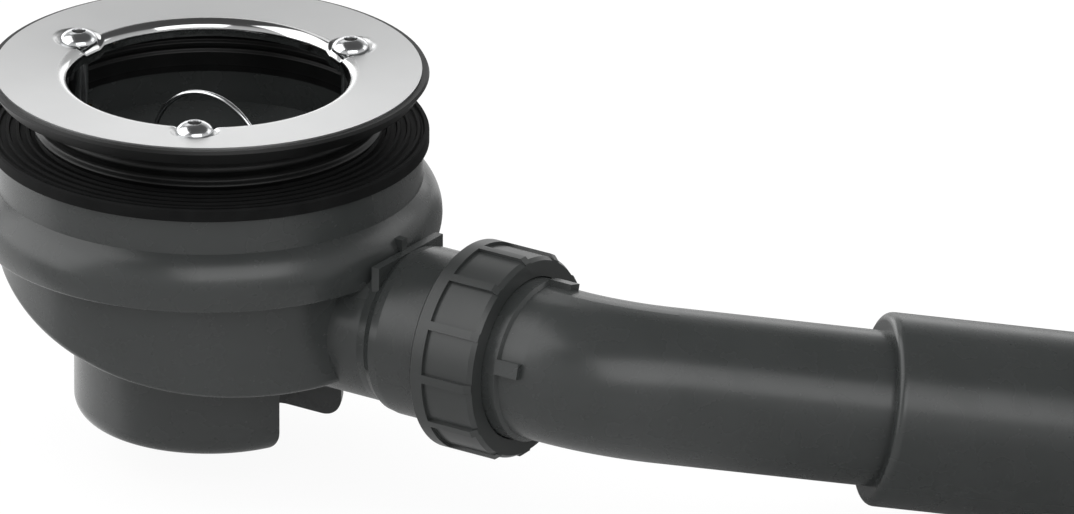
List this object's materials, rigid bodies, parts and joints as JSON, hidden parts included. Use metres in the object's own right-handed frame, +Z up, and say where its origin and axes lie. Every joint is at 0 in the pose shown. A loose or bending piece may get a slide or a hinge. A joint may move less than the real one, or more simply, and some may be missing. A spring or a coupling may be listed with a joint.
{
  "type": "shower drain",
  "caption": "Low shower trap with a clamped steel flange, rubber seals, a lift-out dip tube, a round body with a horseshoe sump, and a swivelling outlet bend held by a union nut.",
  "frame": {"origin": "centre of the flange's finished top, on the drain's own axis", "axes": "+Z up along the drain's axis, +X along the outlet's axis"},
  "size_m": [0.2961, 0.1688, 0.1064],
  "materials": {
    "stainless": "satin",
    "chromed": "polished",
    "black_rubber": "satin",
    "anthracite": "satin",
    "brass": "turned",
    "bright_wire": "bright drawn",
    "white_plastic": "natural"
  },
  "bodies": {
    "trap": {"flange_ring": "stainless", "flange_screws": "chromed", "upper_seal": "black_rubber", "throat_sleeve": "black_rubber", "lower_seal": "black_rubber", "trap_body": "anthracite", "screw_inserts": "brass", "trap_bowl": "anthracite", "union_gasket": "black_rubber"},
    "dip_insert": {"dip_tube": "anthracite", "dip_seal": "black_rubber"},
    "bow": {"pull_bow": "bright_wire"},
    "nut": {"union_nut": "anthracite", "slip_ring": "white_plastic"},
    "bend": {"outlet_bend": "anthracite"}
  },
  "joints": [
    {"name": "insert_lift", "type": "slide", "parent": "trap", "child": "dip_insert", "axis": [0, 0, 1], "range_m": [0, 0.075]},
    {"name": "bow_tilt", "type": "hinge", "parent": "dip_insert", "child": "bow", "pos_m": [0, 0, -0.0293], "axis": [1, 0, 0], "range_deg": [-80, 80]},
    {"name": "nut_turn", "type": "hinge", "parent": "trap", "child": "nut", "pos_m": [0.09, 0, -0.0573], "axis": [1, 0, 0], "continuous": true},
    {"name": "bend_swivel", "type": "hinge", "parent": "trap", "child": "bend", "pos_m": [0.095, 0, -0.0573], "axis": [1, 0, 0], "continuous": true}
  ]
}
